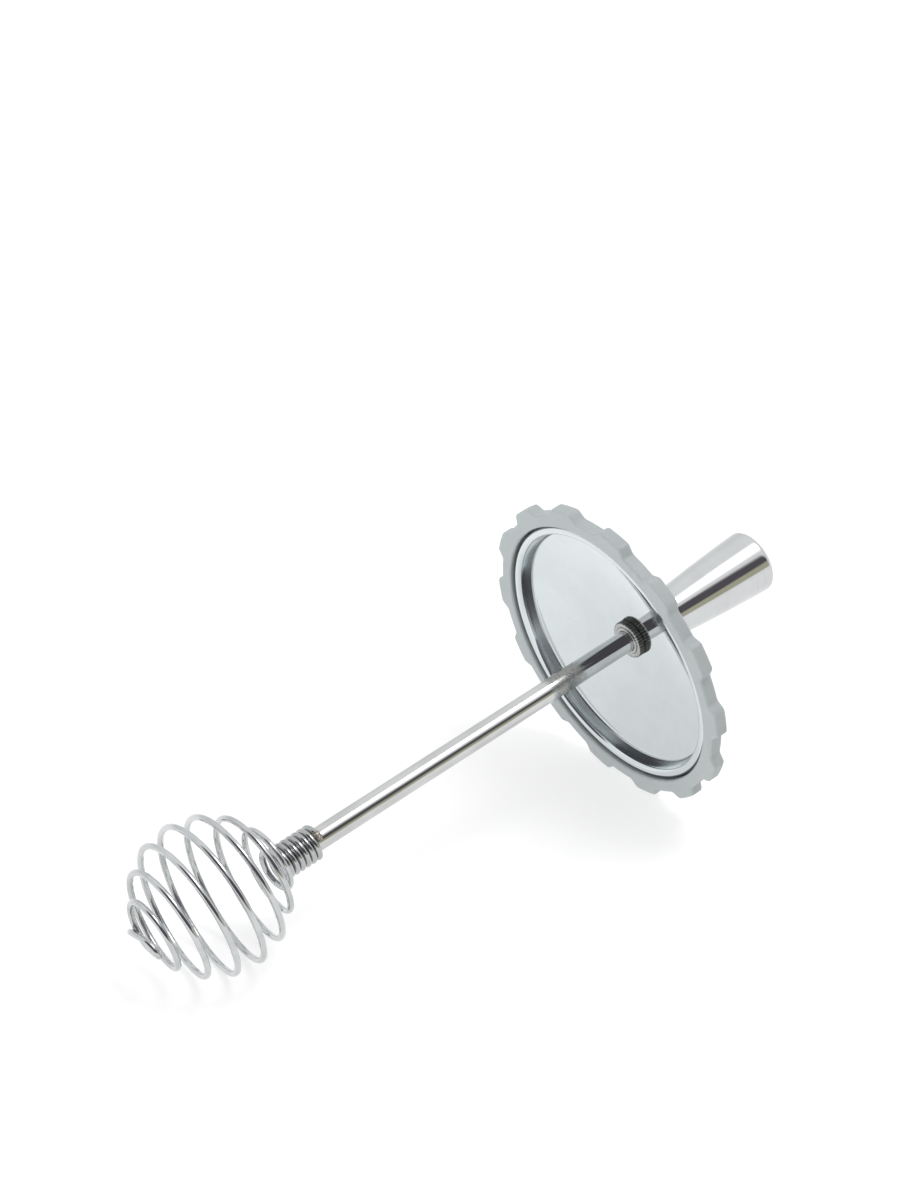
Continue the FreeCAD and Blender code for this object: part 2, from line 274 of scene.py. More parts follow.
def skin(rings):
    """Faces between each ring of vertex numbers and the next, and from the last to the first."""
    faces = []
    for ring, other in zip(rings, rings[1:] + rings[:1]):
        count = len(ring)
        for k in range(count):
            corners = [ring[k], ring[(k + 1) % count], other[(k + 1) % count], other[k]]
            face = list(dict.fromkeys(corners))
            if len(face) > 2:
                faces.append(face)
    return faces


def stacked(rows):
    """Vertices and faces from rows of points, each row one closed ring round the axis."""
    count = len(rows[0])
    vertices = [point for row in rows for point in row]
    rings = [list(range(i * count, (i + 1) * count)) for i in range(len(rows))]
    return vertices, skin(rings)


def circle(r, z, count):
    """A row of points round the axis."""
    angles = [2 * math.pi * k / count for k in range(count)]
    return [(r * math.cos(a), r * math.sin(a), z) for a in angles]


def inset(flat, depth, z):
    """A copy of a closed flat outline moved inward by depth, at height z."""
    count = len(flat)
    row = []
    for k in range(count):
        ahead = flat[(k + 1) % count]
        behind = flat[k - 1]
        run = Vector((ahead[0] - behind[0], ahead[1] - behind[1])).normalized()
        row.append((flat[k][0] - run.y * depth, flat[k][1] + run.x * depth, z))
    return row


# ---------------------------------------------------------------- materials

def add(tree, kind, sockets=None, **settings):
    """A new shader node. Each socket is given a value or another node's output."""
    made = tree.nodes.new(kind)
    for key, value in settings.items():
        setattr(made, key, value)
    for socket, value in (sockets or {}).items():
        if isinstance(value, bpy.types.NodeSocket):
            tree.links.new(value, made.inputs[socket])
        else:
            made.inputs[socket].default_value = value
    return made


def scaled(tree, coordinates, scale, turn=(0.0, 0.0, 0.0)):
    """Texture coordinates stretched by a scale, after an optional turn."""
    sockets = {"Vector": coordinates, "Scale": scale, "Rotation": turn}
    return add(tree, "ShaderNodeMapping", sockets).outputs[0]


def noise_of(tree, coordinates, scale, detail=4.0, roughness=0.55):
    """Noise from 0 to 1, about 0.5."""
    sockets = {"Vector": coordinates, "Scale": scale, "Detail": detail, "Roughness": roughness}
    return add(tree, "ShaderNodeTexNoise", sockets).outputs[0]


def ranged(tree, value, low, high, to_low=0.0, to_high=1.0):
    """A value mapped smoothly and clamped from one range to another."""
    sockets = {
        "Value": value,
        "From Min": low,
        "From Max": high,
        "To Min": to_low,
        "To Max": to_high,
    }
    return add(tree, "ShaderNodeMapRange", sockets, interpolation_type="SMOOTHSTEP").outputs[0]


def maths(tree, operation, *values):
    """One arithmetic node."""
    sockets = dict(enumerate(values))
    return add(tree, "ShaderNodeMath", sockets, operation=operation).outputs[0]


def mixed(tree, share, first, second):
    """A colour between two colours."""
    made = add(tree, "ShaderNodeMix", {0: share, 6: first, 7: second}, data_type="RGBA")
    return made.outputs[2]


def hairlines(tree, coordinates, scale, turn, width):
    """Thin scratches: a narrow band about the middle of a long drawn-out noise."""
    stretched = scaled(tree, coordinates, scale, turn)
    field = noise_of(tree, stretched, 1.0, 1.0)
    off = maths(tree, "ABSOLUTE", maths(tree, "SUBTRACT", field, 0.5))
    line = ranged(tree, off, 0.0, width, 1.0, 0.0)
    patches = ranged(tree, noise_of(tree, coordinates, 160.0, 1.0), 0.5, 0.62)
    return maths(tree, "MULTIPLY", line, patches)


def start_material(name):
    """A material's node tree, its shader, and its texture coordinates in the beater's frame."""
    material = bpy.data.materials.new(name)
    material.use_nodes = True
    tree = material.node_tree
    shader = tree.nodes["Principled BSDF"]
    row = tree.nodes.new("ShaderNodeTexCoord").outputs["Object"]
    sockets = {"Vector": row, "Location": RING_CENTRE, "Rotation": BEATER.to_euler()}
    coordinates = add(tree, "ShaderNodeMapping", sockets, vector_type="TEXTURE").outputs[0]
    return material, tree, shader, coordinates


def axis_distance(tree, here):
    """Distance from the rod's axis, and height along it."""
    split = add(tree, "ShaderNodeSeparateXYZ", {"Vector": here})
    flat = {"X": split.outputs["X"], "Y": split.outputs["Y"]}
    flat = add(tree, "ShaderNodeCombineXYZ", flat).outputs[0]
    radius = add(tree, "ShaderNodeVectorMath", {0: flat}, operation="LENGTH").outputs["Value"]
    return radius, split.outputs["Z"]


def bump(tree, shader, height, depth):
    """Relief of the given depth in metres from a height of 0 to 1."""
    made = add(tree, "ShaderNodeBump", {"Height": height, "Distance": depth, "Strength": 1.0})
    tree.links.new(made.outputs[0], shader.inputs["Normal"])


def steel(name, tone, shade, gloss, grain, depth, scratches=0.5):
    """Bare metal: grain stretched along the work, soft smudges, pits and hairline scratches."""
    material, tree, shader, here = start_material(name)
    shader.inputs["Metallic"].default_value = 1.0
    fine = noise_of(tree, scaled(tree, here, grain), 1.0, 2.0, 0.5)
    cloud = noise_of(tree, here, 95.0, 3.0)
    pits = ranged(tree, noise_of(tree, here, 1500.0, 2.0), 0.72, 0.80)
    lines = maths(
        tree,
        "MAXIMUM",
        hairlines(tree, here, (900.0, 900.0, 40.0), (0.5, 0.3, 0.2), 0.012),
        hairlines(tree, here, (60.0, 60.0, 1500.0), (0.2, -0.25, 0.0), 0.010),
    )
    worn = maths(tree, "MULTIPLY", lines, scratches)
    dull = maths(tree, "MAXIMUM", maths(tree, "MULTIPLY", pits, 0.5), worn)
    patchy = ranged(tree, maths(tree, "ADD", maths(tree, "MULTIPLY", fine, 0.3), cloud), 0.45, 0.85)
    colour = mixed(tree, patchy, tone, shade)
    colour = mixed(tree, maths(tree, "MULTIPLY", pits, 0.3), colour, (0.25, 0.23, 0.21, 1.0))
    tree.links.new(colour, shader.inputs["Base Color"])
    rough = ranged(tree, patchy, 0.0, 1.0, gloss[0], gloss[1])
    rough = maths(tree, "ADD", rough, maths(tree, "MULTIPLY", dull, 0.18))
    tree.links.new(rough, shader.inputs["Roughness"])
    relief = maths(tree, "SUBTRACT", fine, maths(tree, "MULTIPLY", dull, 0.4))
    bump(tree, shader, relief, depth)
    return material, tree, shader, here, rough, colour


def rod_steel():
    """Drawn and polished rod, scuffed dull where it runs in the bush at the end of its stroke."""
    tone, shade = (0.60, 0.607, 0.602, 1.0), (0.53, 0.535, 0.527, 1.0)
    made = steel("rod_steel", tone, shade, (0.04, 0.09), (2600.0, 2600.0, 90.0), 0.4e-6, 0.4)
    material, tree, shader, here, rough, colour = made
    z = add(tree, "ShaderNodeSeparateXYZ", {"Vector": here}).outputs["Z"]
    ragged = maths(tree, "MULTIPLY", noise_of(tree, here, 420.0, 5.0, 0.7), 0.007)
    along = maths(tree, "ADD", z, ragged)
    rise = ranged(tree, along, -0.0160, -0.0125)
    fall = ranged(tree, along, -0.0065, -0.0030, 1.0, 0.0)
    scuff = maths(tree, "MULTIPLY", rise, fall)
    mottle = ranged(tree, noise_of(tree, here, 520.0, 2.0), 0.35, 0.65, 0.35, 1.0)
    scuff = maths(tree, "MULTIPLY", scuff, mottle)
    dulled = maths(tree, "ADD", rough, maths(tree, "MULTIPLY", scuff, 0.34))
    tree.links.new(dulled, shader.inputs["Roughness"])
    tinted = mixed(tree, maths(tree, "MULTIPLY", scuff, 0.55), colour, (0.40, 0.385, 0.355, 1.0))
    tree.links.new(tinted, shader.inputs["Base Color"])
    return material


def spring_steel():
    """Drawn spring wire, with shade painted darker on the tightly wound turns of its sleeve."""
    grain = (700.0, 700.0, 700.0)
    made = steel("spring_wire", WIRE_BRIGHT, WIRE_GREY, (0.04, 0.09), grain, 0.4e-6, 0.2)
    material, tree, shader, here, rough, colour = made
    z = add(tree, "ShaderNodeSeparateXYZ", {"Vector": here}).outputs["Z"]
    ball_top = BALL_CENTRE_Z + BALL_HALF_LENGTH
    # Painted shade: the sleeve's tightly wound turns are darkened in colour, standing in for the shade
    # they cast on one another.
    sleeve_turns_shade = ranged(tree, z, (ball_top - 2.5) * MM, (ball_top + 1.0) * MM)
    tinted = mixed(tree, maths(tree, "MULTIPLY", sleeve_turns_shade, 0.38), colour, (0.24, 0.24, 0.235, 1.0))
    tree.links.new(tinted, shader.inputs["Base Color"])
    return material


def lid_steel():
    """Mirror-polished sheet, left duller where the press drew its wall, with shade painted darker on
    that wall.
    """
    made = steel("lid_steel", PALE, PALE_SHADE, (0.035, 0.065), (900.0, 900.0, 900.0), 0.3e-6, 0.3)
    material, tree, shader, here, rough, colour = made
    radius = axis_distance(tree, here)[0]
    smear = maths(tree, "MULTIPLY", noise_of(tree, here, 60.0, 3.0), 0.0004)
    reach = maths(tree, "ADD", radius, smear)
    start = ranged(tree, reach, (DOME_EDGE_R - 0.15) * MM, (DOME_EDGE_R + 0.1) * MM)
    fade = ranged(tree, reach, (DOME_EDGE_R + 0.5) * MM, (WALL_FOOT_R + 0.5) * MM, 1.0, 0.0)
    # Painted shade: the wall between the dome's edge and the wall's foot is darkened in colour, and the
    # same band is made rougher.
    dull_and_shaded_wall = maths(tree, "MULTIPLY", start, fade)
    tinted = mixed(tree, maths(tree, "MULTIPLY", dull_and_shaded_wall, 0.45), colour, (0.20, 0.20, 0.195, 1.0))
    tree.links.new(tinted, shader.inputs["Base Color"])
    dulled = maths(tree, "ADD", rough, maths(tree, "MULTIPLY", dull_and_shaded_wall, 0.16))
    tree.links.new(dulled, shader.inputs["Roughness"])
    return material


def knurled_steel():
    """Oxidised nut, dark in the knurl's valleys and bright where its crests and edges are worn."""
    material, tree, shader, here = start_material("knurled_steel")
    shader.inputs["Metallic"].default_value = 1.0
    radius, z = axis_distance(tree, here)
    grit = noise_of(tree, here, 2600.0, 5.0, 0.7)
    chips = noise_of(tree, here, 1100.0, 3.0, 0.6)
    roughened = maths(tree, "MULTIPLY", maths(tree, "SUBTRACT", chips, 0.5), 0.0009)
    reach = maths(tree, "ADD", radius, roughened)
    crest = ranged(tree, reach, (NUT_R - 0.10) * MM, (NUT_R + 0.10) * MM)
    depth = maths(tree, "ADD", z, roughened)
    front = ranged(tree, depth, (NUT_START_Z + 0.05) * MM, (NUT_START_Z + 0.5) * MM, 1.0, 0.0)
    bare = maths(tree, "MAXIMUM", maths(tree, "MULTIPLY", crest, 0.55), front)
    dark = mixed(tree, grit, (0.055, 0.055, 0.05, 1.0), (0.20, 0.195, 0.18, 1.0))
    colour = mixed(tree, bare, dark, (0.47, 0.48, 0.465, 1.0))
    tree.links.new(colour, shader.inputs["Base Color"])
    rough = maths(tree, "ADD", grit, maths(tree, "MULTIPLY", bare, -0.5))
    rough = ranged(tree, rough, 0.1, 0.8, 0.26, 0.62)
    tree.links.new(rough, shader.inputs["Roughness"])
    bump(tree, shader, maths(tree, "ADD", grit, chips), 4.0e-5)
    return material


def weld_bead():
    """A weld's crust: grey metal with straw and brown heat tint and dark specks of scale."""
    material, tree, shader, here = start_material("weld_bead")
    shader.inputs["Metallic"].default_value = 0.85
    cloud = noise_of(tree, here, 1400.0, 4.0)
    specks = ranged(tree, noise_of(tree, here, 4200.0, 3.0), 0.52, 0.62)
    straw, brown = (0.52, 0.50, 0.47, 1.0), (0.30, 0.23, 0.17, 1.0)
    tint = mixed(tree, ranged(tree, cloud, 0.35, 0.65), straw, brown)
    colour = mixed(tree, specks, tint, (0.09, 0.075, 0.065, 1.0))
    tree.links.new(colour, shader.inputs["Base Color"])
    tree.links.new(ranged(tree, cloud, 0.3, 0.7, 0.28, 0.6), shader.inputs["Roughness"])
    bump(tree, shader, maths(tree, "ADD", cloud, specks), 6.0e-5)
    return material


def ring_silicone():
    """Pale blue-grey moulded silicone: faint mottling, fine orange peel and dusty matt patches."""
    material, tree, shader, here = start_material("ring_silicone")
    shader.inputs["Specular IOR Level"].default_value = 0.35
    shader.inputs["Subsurface Weight"].default_value = 0.12
    shader.inputs["Subsurface Scale"].default_value = 0.002
    shader.inputs["Subsurface Radius"].default_value = (0.8, 0.9, 1.0)
    cloud = noise_of(tree, here, 70.0, 4.0)
    peel = noise_of(tree, here, 1700.0, 3.0)
    dust = ranged(tree, noise_of(tree, here, 3200.0, 2.0), 0.66, 0.74)
    darker, paler = (0.375, 0.410, 0.412, 1.0), (0.404, 0.437, 0.437, 1.0)
    colour = mixed(tree, ranged(tree, cloud, 0.3, 0.7), darker, paler)
    colour = mixed(tree, maths(tree, "MULTIPLY", dust, 0.25), colour, (0.55, 0.57, 0.57, 1.0))
    tree.links.new(colour, shader.inputs["Base Color"])
    tree.links.new(ranged(tree, cloud, 0.3, 0.7, 0.42, 0.58), shader.inputs["Roughness"])
    bump(tree, shader, maths(tree, "ADD", peel, maths(tree, "MULTIPLY", cloud, 0.5)), 0.8e-5)
    return material


def seal_rubber():
    """White silicone, a little translucent, with a faint dusty bloom."""
    material, tree, shader, here = start_material("seal_rubber")
    shader.inputs["Subsurface Weight"].default_value = 0.2
    shader.inputs["Subsurface Scale"].default_value = 0.001
    shader.inputs["Subsurface Radius"].default_value = (1.0, 0.95, 0.9)
    cloud = noise_of(tree, here, 500.0, 4.0)
    clean, dusty = (0.53, 0.53, 0.518, 1.0), (0.47, 0.465, 0.447, 1.0)
    colour = mixed(tree, ranged(tree, cloud, 0.35, 0.7), clean, dusty)
    tree.links.new(colour, shader.inputs["Base Color"])
    tree.links.new(ranged(tree, cloud, 0.3, 0.7, 0.5, 0.72), shader.inputs["Roughness"])
    bump(tree, shader, noise_of(tree, here, 2500.0, 3.0), 1.2e-5)
    return material


FLOOR_GLOW = 0.65


def floor_material():
    """Plain pale matt sheet over a light table, which keeps the shadows on it faint."""
    material, tree, shader, here = start_material("pale_floor")
    cloud = noise_of(tree, here, 3.0, 2.0)
    colour = mixed(tree, cloud, (0.39, 0.39, 0.39, 1.0), (0.41, 0.41, 0.41, 1.0))
    tree.links.new(colour, shader.inputs["Base Color"])
    shader.inputs["Emission Color"].default_value = (1.0, 1.0, 1.0, 1.0)
    shader.inputs["Emission Strength"].default_value = FLOOR_GLOW
    shader.inputs["Roughness"].default_value = 0.85
    shader.inputs["Specular IOR Level"].default_value = 0.1
    return material


BRIGHT = (0.598, 0.612, 0.617, 1.0)
GREY = (0.56, 0.57, 0.572, 1.0)
TURNED = (0.50, 0.51, 0.50, 1.0)
TURNED_SHADE = (0.44, 0.447, 0.44, 1.0)
PALE = (0.69, 0.737, 0.748, 1.0)
PALE_SHADE = (0.66, 0.708, 0.718, 1.0)
WIRE_BRIGHT = (0.59, 0.607, 0.612, 1.0)
WIRE_GREY = (0.49, 0.50, 0.505, 1.0)
ROUND_THE_AXIS = (70.0, 70.0, 1900.0)
ROD_STEEL = rod_steel()
HANDLE_STEEL = steel("handle_steel", BRIGHT, GREY, (0.03, 0.06), ROUND_THE_AXIS, 0.25e-6, 0.5)[0]
LID_STEEL = lid_steel()
WIRE_STEEL = spring_steel()
TURNED_STEEL = steel("turned_steel", TURNED, TURNED_SHADE, (0.12, 0.22), ROUND_THE_AXIS, 1.5e-6, 0.4)[0]
KNURLED_STEEL = knurled_steel()
WELD = weld_bead()
SILICONE = ring_silicone()
RUBBER = seal_rubber()


# ---------------------------------------------------------------- rod and handle

def build_rod():
    """The rod, rounded off at its end, and the stud at its top."""
    outline = rounded([
        (0.0, ROD_START_Z),
        (ROD_R, ROD_START_Z, 0.6),
        (ROD_R, HANDLE_BASE_Z, 0.05),
        (STUD_R, HANDLE_BASE_Z, 0.05),
        (STUD_R, HANDLE_BASE_Z + STUD_LENGTH, 0.3),
        (0.0, HANDLE_BASE_Z + STUD_LENGTH),
    ])
    new_piece("rod", *lathe(outline), ROD_STEEL, "plunger", "rod_steel", "rod")


def build_handle():
    """The flared shell with its rolled top edge, open at its foot for the tapped plug."""
    edge_z = HANDLE_TOP_Z - HANDLE_EDGE_R
    edge_r = handle_r(edge_z)
    foot = 0.18
    outer = between(handle_r, HANDLE_BASE_Z + foot, edge_z, 40)
    roll = []
    for step in range(1, 11):
        angle = math.pi / 2 * step / 10
        r = edge_r - HANDLE_EDGE_R * (1 - math.cos(angle))
        roll.append((r, edge_z + HANDLE_EDGE_R * math.sin(angle)))
    inner_top = HANDLE_TOP_Z - HANDLE_WALL
    inner = between(lambda z: handle_r(z) - HANDLE_WALL, edge_z, HANDLE_BASE_Z, 24)
    outline = [(HANDLE_BASE_R - foot, HANDLE_BASE_Z), (HANDLE_BASE_R - 0.05, HANDLE_BASE_Z + 0.05)]
    outline += outer + roll
    outline += fillet(roll[-1], (CAP_R, HANDLE_TOP_Z), (CAP_R, inner_top), 0.15)
    outline += [(CAP_R, inner_top), (edge_r - HANDLE_WALL - 0.3, inner_top)]
    outline += inner
    mesh = lathe(outline)
    new_piece("handle_shell", *mesh, HANDLE_STEEL, "plunger", "handle_steel", "handle_shell")


def build_end_cap():
    """The slightly domed disc set in the handle's rolled edge, with a fine groove round it."""
    low = HANDLE_TOP_Z - CAP_THICK
    sphere_r = (CAP_R ** 2 + CAP_RISE ** 2) / (2 * CAP_RISE)
    peak = HANDLE_TOP_Z + CAP_RISE
    brim_r = CAP_R - 0.12
    outline = [(0.0, low), (brim_r, low), (CAP_R, low + 0.12), (CAP_R, HANDLE_TOP_Z - 0.16)]
    for step in range(31):
        r = (CAP_R - 0.16) * (1 - step / 30)
        z = peak - sphere_r + math.sqrt(sphere_r ** 2 - r ** 2)
        outline.append((r, z - (0.05 if 3 <= step <= 4 else 0.0)))
    mesh = lathe(outline)
    new_piece("handle_end_cap", *mesh, HANDLE_STEEL, "plunger", "handle_steel", "handle_end_cap")


# ---------------------------------------------------------------- wire

def push_share(turns):
    """How much of the push is reached, this many turns past the sleeve, or before it if negative."""
    reach = PUSH_TURNS_AFTER if turns > 0 else PUSH_TURNS_BEFORE
    share = max(1 - abs(turns) / reach, 0.0)
    return share * share * (3 - 2 * share)


def sleeve_points():
    """The sleeve's centre line, from the wire's free end down to the ball."""
    steps = round(SLEEVE_TURNS * PATH_STEPS_PER_TURN)
    start_z = BALL_CENTRE_Z + BALL_HALF_LENGTH * math.cos(BALL_FIRST_LATITUDE) - PUSH_ON
    points = []
    for step in range(steps, 0, -1):
        turns = SLEEVE_TURNS * step / steps
        azimuth = BALL_FIRST_AZIMUTH + 2 * math.pi * turns
        r = SLEEVE_R + PUSH_OUT * push_share(-turns)
        z = start_z + SLEEVE_PITCH * turns
        points.append((r * math.cos(azimuth), r * math.sin(azimuth), z))
    return points


def skew_share(turns):
    """How much of the ball's askew stand is reached, this many turns past the sleeve."""
    share = min(turns / SKEW_TURNS, 1.0)
    return share * share * (3 - 2 * share)


def ball_points():
    """The ball's centre line, a spiral that drops in latitude at an even rate."""
    all_turns = (BALL_LAST_LATITUDE - BALL_FIRST_LATITUDE) / LATITUDE_PER_TURN
    steps = round(all_turns * PATH_STEPS_PER_TURN)
    points = []
    for step in range(steps + 1):
        turns = all_turns * step / steps
        latitude = BALL_FIRST_LATITUDE + LATITUDE_PER_TURN * turns
        azimuth = BALL_FIRST_AZIMUTH - 2 * math.pi * turns
        push = push_share(turns)
        r = BALL_R * math.sin(latitude) + PUSH_OUT * push
        x = r * math.cos(azimuth)
        y = r * math.sin(azimuth)
        z = BALL_HALF_LENGTH * math.cos(latitude)
        down = BALL_HALF_LENGTH * math.cos(BALL_FIRST_LATITUDE) - z
        share = skew_share(turns)
        z += share * (LOOP_TILT_X * x + LOOP_TILT_Y * y)
        x += share * BALL_OFFSET_X + BALL_LEAN_X * down
        y += share * BALL_OFFSET_Y + BALL_LEAN_Y * down
        points.append((x, y, BALL_CENTRE_Z + z - PUSH_ON * push))
    return points


def spline(points, steps):
    """A smooth cubic curve through points, with this many steps between each two."""
    p = np.array(points)
    gaps = np.linalg.norm(np.diff(p, axis=0), axis=1)
    count = len(p)
    system = np.eye(count)
    right = np.zeros_like(p)
    for i in range(1, count - 1):
        system[i, i - 1:i + 2] = gaps[i - 1], 2 * (gaps[i - 1] + gaps[i]), gaps[i]
        right[i] = 6 * ((p[i + 1] - p[i]) / gaps[i] - (p[i] - p[i - 1]) / gaps[i - 1])
    bend = np.linalg.solve(system, right)
    curve = []
    for i, gap in enumerate(gaps):
        for step in range(steps):
            t = gap * step / steps
            u = gap - t
            value = (bend[i] * u ** 3 + bend[i + 1] * t ** 3) / (6 * gap)
            value += (p[i] / gap - bend[i] * gap / 6) * u
            value += (p[i + 1] / gap - bend[i + 1] * gap / 6) * t
            curve.append(value)
    curve.append(p[-1])
    return [Vector(c) for c in curve]


def tube(path, radius, sides):
    """Vertices and faces of a round wire along a path, with its cut ends broken at the edge."""
    ends = [(0.0, 0.0), (0.0, 0.72), (0.06, 0.90)]
    across = Vector((1.0, 0.0, 0.0))
    vertices = []
    rings = []
    stations = []
    for back, share in ends:
        stations.append((path[0] + (path[1] - path[0]).normalized() * back, share, 0))
    for i, point in enumerate(path[1:-1], 1):
        stations.append((point, 1.0, i))
    last = len(path) - 1
    for back, share in reversed(ends):
        stations.append((path[-1] + (path[-2] - path[-1]).normalized() * back, share, last))
    for point, share, i in stations:
        run = (path[min(i + 1, last)] - path[max(i - 1, 0)]).normalized()
        across = (across - run * across.dot(run)).normalized()
        side = run.cross(across)
        if share == 0.0:
            rings.append([len(vertices)] * sides)
            vertices.append(point)
            continue
        rings.append(list(range(len(vertices), len(vertices) + sides)))
        for k in range(sides):
            angle = 2 * math.pi * k / sides
            arm = across * math.cos(angle) + side * math.sin(angle)
            vertices.append(point + arm * radius * share)
    return vertices, skin(rings)


def build_wire():
    """One length of spring wire: the sleeve, the ball and the hook at its tip."""
    path = spline(sleeve_points() + ball_points() + WIRE_TAIL, TUBE_STEPS)
    mesh = tube(path, WIRE_R, TUBE_SIDES)
    new_piece("whisk_wire", *mesh, WIRE_STEEL, "plunger", "spring_wire", "whisk_wire")
    return path[0], (path[0] - path[1]).normalized()


def build_weld(end, run):
    """The lumpy bead over the wire's end, drawn out a little along the wire."""
    ball = bmesh.new()
    bmesh.ops.create_icosphere(ball, subdivisions=5, radius=1.0)
    outward = Vector((end.x, end.y, 0.0)).normalized()
    vertices = []
    for vertex in ball.verts:
        d = vertex.co.normalized()
        lump = noise.noise(d * 1.7 + Vector((3.1, 0.4, 7.7)))
        fine = noise.noise(d * 5.0 + Vector((1.3, 9.2, 4.1)))
        r = WELD_R * (1.0 + 0.16 * lump + 0.05 * fine)
        stretch = d + run * d.dot(run) * 0.35 - outward * d.dot(outward) * 0.08
        vertices.append(end + stretch * r)
    faces = [[v.index for v in face.verts] for face in ball.faces]
    ball.free()
    new_piece("wire_weld", vertices, faces, WELD, "plunger", "weld_bead", "wire_weld")


# ---------------------------------------------------------------- lid

def build_plate():
    """The pressed plate: dome, sloping wall, bead and flange in one thickness of sheet."""
    inner = BEAD_R - BEAD_HALF_WIDTH
    outer = BEAD_R + BEAD_HALF_WIDTH
    side_z = BEAD_Z + BEAD_HALF_WIDTH
    outline = dome_points(BARREL_R, DOME_EDGE_R - 1.0, 0.0)
    before = (DOME_EDGE_R - 2.0, dome_z(DOME_EDGE_R - 2.0, 0.0))
    edge = (DOME_EDGE_R, DOME_EDGE_Z)
    foot = (WALL_FOOT_R, WALL_FOOT_Z)
    outline += fillet(before, edge, foot, 0.9, 10)
    outline += fillet(edge, foot, (inner, side_z), 2.0, 5)
    for step in range(25):
        angle = math.pi * step / 24
        r = BEAD_R - BEAD_HALF_WIDTH * math.cos(angle)
        outline.append((r, side_z - BEAD_HALF_WIDTH * math.sin(angle)))
    outline += rounded([
        (outer, FLANGE_Z),
        (FLANGE_R, FLANGE_Z),
        (FLANGE_R, FLANGE_Z + SHEET),
        (outer - SHEET, FLANGE_Z + SHEET),
        (outer - SHEET, side_z),
    ])
    for step in range(1, 13):
        angle = math.pi * step / 12
        r = BEAD_R + (BEAD_HALF_WIDTH - SHEET) * math.cos(angle)
        outline.append((r, side_z - (BEAD_HALF_WIDTH - SHEET) * math.sin(angle)))
    top_r = DOME_EDGE_R + 0.25
    top = (top_r, dome_z(top_r, SHEET))
    upper = dome_points(top_r - 0.5, BARREL_R, SHEET)
    outline += fillet((inner + SHEET, side_z), (WALL_FOOT_R + SHEET, WALL_FOOT_Z), top, 0.3, 3)
    outline += fillet((WALL_FOOT_R + SHEET, WALL_FOOT_Z), top, upper[0], 0.9, 6)
    outline += upper
    new_piece("lid_plate", *lathe(outline, PLATE_SEGMENTS), LID_STEEL, "lid", "lid_steel", "lid_plate")


def lobe_r(angle):
    """The grip ring's outer radius at an angle, with its lobes' corners rounded."""
    spacing = 2 * math.pi / LOBES
    off = abs(angle % spacing - spacing / 2)
    ramp = LOBE_FOOT - LOBE_TOP
    u = (LOBE_FOOT - off) / ramp
    h = LOBE_ROUNDING / ramp

    def area(x):
        return 0.0 if x < 0 else (x * x / 2 if x < 1 else x - 0.5)

    return RING_ROOT_R + (RING_TIP_R - RING_ROOT_R) * (area(u + h) - area(u - h)) / (2 * h)


def build_ring():
    """The soft lobed ring, rounded all over, with the groove that grips the plate's flange."""
    count = LOBES * STEPS_PER_LOBE
    flat = []
    for k in range(count):
        angle = 2 * math.pi * k / count
        r = lobe_r(angle)
        flat.append((r * math.cos(angle), r * math.sin(angle)))
    rows = []
    for step in range(8):
        angle = math.pi / 2 * step / 7
        depth = RING_EDGE_R * (1 - math.sin(angle))
        rows.append(inset(flat, depth, RING_EDGE_R * (1 - math.cos(angle))))
    for step in range(8):
        angle = math.pi / 2 * step / 7
        depth = RING_EDGE_R * (1 - math.cos(angle))
        rows.append(inset(flat, depth, RING_THICK - RING_EDGE_R * (1 - math.sin(angle))))
    hollow = rounded([
        (RING_BACK_LIP_R, RING_THICK, 0.25),
        (RING_BACK_LIP_R, FLANGE_Z + SHEET),
        (FLANGE_R, FLANGE_Z + SHEET),
        (FLANGE_R, FLANGE_Z),
        (RING_LIP_R, FLANGE_Z),
        (RING_LIP_R, LIP_CHAMFER, 0.12),
        (RING_LIP_R + LIP_CHAMFER, 0.0, 0.12),
        (RING_ROOT_R - RING_EDGE_R, 0.0),
        (RING_ROOT_R - RING_EDGE_R, RING_THICK),
    ])[:-2]
    rows += [circle(r, z, count) for r, z in hollow]
    new_piece("grip_ring", *stacked(rows), SILICONE, "lid", "ring_silicone", "grip_ring")


def build_bush():
    """The flanged bush that the rod runs in, with its seal's groove inside the head."""
    seal_z = (SHOULDER_Z + BUSH_TOP_Z) / 2
    outline = rounded([
        (BORE_R, BUSH_END_Z, 0.15),
        (BARREL_R, BUSH_END_Z, 0.22),
        (BARREL_R, SHOULDER_Z),
        (HEAD_R, SHOULDER_Z, 0.12),
        (HEAD_R, BUSH_TOP_Z, 0.35),
        (BORE_R, BUSH_TOP_Z, 0.15),
        (BORE_R, seal_z + GROOVE_HALF),
        (GROOVE_R, seal_z + GROOVE_HALF),
        (GROOVE_R, seal_z - GROOVE_HALF),
        (BORE_R, seal_z - GROOVE_HALF),
    ])
    new_piece("guide_bush", *lathe(outline), TURNED_STEEL, "lid", "turned_steel", "guide_bush")


